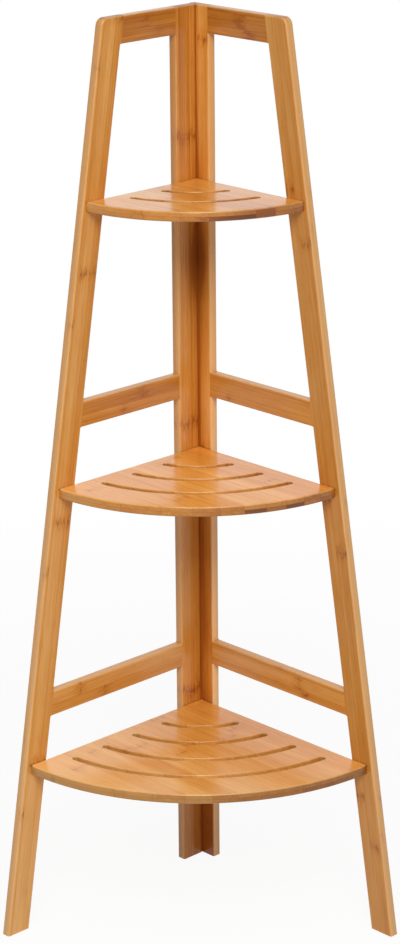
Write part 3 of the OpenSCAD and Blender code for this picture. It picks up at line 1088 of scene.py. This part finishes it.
def screwTree():
    inputs = {
        "Length": 0.028,
        "Shank Diameter": screwSizes["shankDiameter"],
        "Head Diameter": screwSizes["headDiameter"],
        "Point Length": screwSizes["pointLength"],
        "Thread Pitch": screwSizes["threadPitch"],
        "Thread Share": screwSizes["threadShare"],
        "Recess Length": screwSizes["recessLength"],
        "Recess Width": screwSizes["recessWidth"],
        "Recess Depth": screwSizes["recessDepth"],
    }
    tree, start, end = shapeTree("woodScrew", inputs)
    shank = start["Shank Diameter"] * 0.5
    head = start["Head Diameter"] * 0.5
    core = shank * screwSizes["coreShare"]
    sink = screwSizes["sink"]
    pointStart = start["Length"] - start["Point Length"]
    threadStart = start["Length"] - start["Length"] * start["Thread Share"]
    parts = [
        screwHead(tree, start, head, shank),
        screwCone(tree, shank, shank, head - shank - sink, threadStart),
        screwCone(tree, core, core, threadStart - sink, pointStart),
        screwCone(tree, core * screwSizes["tipShare"], 0.0, pointStart - sink, start["Length"]),
        screwThread(tree, start, shank, core, threadStart, pointStart),
    ]
    whole = addNode(tree, "GeometryNodeJoinGeometry")
    for part in parts:
        feed(whole, {0: part})
    setOnPoints(tree, start, end, Wire(whole))
    return tree


def finishSmall(piece, node):
    smoothFaces(piece.data, smallSharpAngle)
    return dress(piece, node)


def railDowels(node, tree, material):
    solids = solidsOf(node)
    run = wallRuns[node.split("_")[0]]
    length = max(solids[0][1] - solids[0][0])
    cloud = pointCloud(node, [(low + high) / 2 for low, high in solids], [run] * len(solids))
    dowels = treePiece(camelName(node), tree, {"Length": length, "Material": material}, cloud)
    finishSmall(dowels, node)


def boardScrews(node, tree, material):
    # the heads lie in the wall sides, so each screw points away from its wall
    heads, directions, lengths = [], [], []
    for low, high in solidsOf(node):
        size = high - low
        inward = Vector((1, 0, 0)) if size.x > size.y else Vector((0, -1, 0))
        lengths.append(max(size))
        heads.append((low + high) / 2 - inward * max(size) / 2)
        directions.append(inward)
    cloud = pointCloud(node, heads, directions)
    screws = treePiece(camelName(node), tree, {"Length": lengths[0], "Material": material}, cloud)
    finishSmall(screws, node)


dowelBeech = beechMaterial()
flutedDowel = dowelTree()
dowelNodes = [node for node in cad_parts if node.endswith("_dowels")]
for node in dowelNodes:
    railDowels(node, flutedDowel, dowelBeech)
print("dowel groups:", len(dowelNodes))

screwZinc = zincMaterial()
woodScrew = screwTree()
screwNodes = [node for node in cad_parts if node.endswith("_screws")]
for node in screwNodes:
    boardScrews(node, woodScrew, screwZinc)
print("screw groups:", len(screwNodes))


# Floor, backdrop, lights and camera

studio = {
    "floorHalf": 16.0,
    "floorColor": (0.90, 0.90, 0.89, 1),
    "floorGlow": 0.93,          # share of plain white in the floor near the object, as the camera sees it
    "shadowReach": (0.7, 1.8),  # from the origin, between which the floor turns to plain white
    "white": (1, 1, 1, 1),
    "worldStrength": 0.22,
}


def backdropShare(tree):
    # 1 for rays that show the surroundings themselves: seen by the camera, in gloss or through glass
    rays = addNode(tree, "ShaderNodeLightPath")
    seen = Wire(rays, "Is Camera Ray").math("MAXIMUM", Wire(rays, "Is Glossy Ray"))
    return seen.math("MAXIMUM", Wire(rays, "Is Transmission Ray"))


def studioFloor():
    mesh = bpy.data.meshes.new("studioFloor")
    half = studio["floorHalf"]
    corners = [(-half, -half, 0), (half, -half, 0), (half, half, 0), (-half, half, 0)]
    mesh.from_pydata(corners, [], [(0, 1, 2, 3)])
    floor = bpy.data.objects.new("studioFloor", mesh)
    scene.collection.objects.link(floor)
    material = bpy.data.materials.new("paleFloor")
    material.use_nodes = True
    tree = material.node_tree
    tree.nodes.clear()
    diffuse = wired(tree, "ShaderNodeBsdfDiffuse", {"Color": studio["floorColor"]})
    glow = wired(tree, "ShaderNodeEmission", {"Color": studio["white"], "Strength": 1.0})
    place = wired(tree, "ShaderNodeTexCoord", output="Object")
    away = wired(tree, "ShaderNodeVectorMath", {0: place}, "Value", operation="LENGTH")
    share = backdropShare(tree) * smoothStep(away, *studio["shadowReach"], studio["floorGlow"], 1.0)
    mixed = wired(tree, "ShaderNodeMixShader", {0: share, 1: diffuse, 2: glow})
    addNode(tree, "ShaderNodeOutputMaterial", {"Surface": mixed})
    mesh.materials.append(material)


def studioWorld():
    world = bpy.data.worlds.new("studioWorld")
    scene.world = world
    world.use_nodes = True
    tree = world.node_tree
    tree.nodes.clear()
    strength = backdropShare(tree) * (1.0 - studio["worldStrength"]) + studio["worldStrength"]
    background = wired(tree, "ShaderNodeBackground", {"Color": studio["white"], "Strength": strength})
    addNode(tree, "ShaderNodeOutputWorld", {"Surface": background})


softboxes = {
    "key": {"place": (2.95, -2.85, 4.2), "aim": (0, 0, 0.5), "size": (2.4, 2.4), "power": 182},
    "right": {"place": (4.2, -1.6, 3.6), "aim": (0, 0, 0.5), "size": (2.0, 2.0), "power": 26},
    "overhead": {"place": (1.4, -1.4, 5.0), "aim": (0, 0, 0.5), "size": (3.0, 3.0), "power": 40},
}


def towards(settings):
    # turns the -Z axis of a lamp or camera from its place to its aim
    return (Vector(settings["aim"]) - Vector(settings["place"])).to_track_quat("-Z", "Y")


def softbox(name, settings):
    light = bpy.data.lights.new(name, "AREA")
    light.shape = "RECTANGLE"
    light.size, light.size_y = settings["size"]
    light.energy = settings["power"]
    lamp = bpy.data.objects.new(name, light)
    scene.collection.objects.link(lamp)
    lamp.location = settings["place"]
    lamp.rotation_euler = towards(settings).to_euler()


photoCamera = {
    "place": (2.191, -2.102, 1.612),
    "aim": (0.0, 0.007, 0.594),
    "roll": math.radians(-0.49),
    "focalLength": 105.7,       # in millimetres, as is the sensor's height
    "sensorHeight": 36.0,
    "clipEnd": 60,
}


def studioCamera():
    data = bpy.data.cameras.new("photoCamera")
    data.sensor_fit = "VERTICAL"
    data.sensor_height = photoCamera["sensorHeight"]
    data.lens = photoCamera["focalLength"]
    data.clip_end = photoCamera["clipEnd"]
    camera = bpy.data.objects.new("photoCamera", data)
    scene.collection.objects.link(camera)
    camera.location = photoCamera["place"]
    roll = Matrix.Rotation(photoCamera["roll"], 3, "Z")
    camera.rotation_euler = (towards(photoCamera).to_matrix() @ roll).to_euler()
    scene.camera = camera


studioFloor()
studioWorld()
for name, settings in softboxes.items():
    softbox(name, settings)
studioCamera()
print("studio ready")
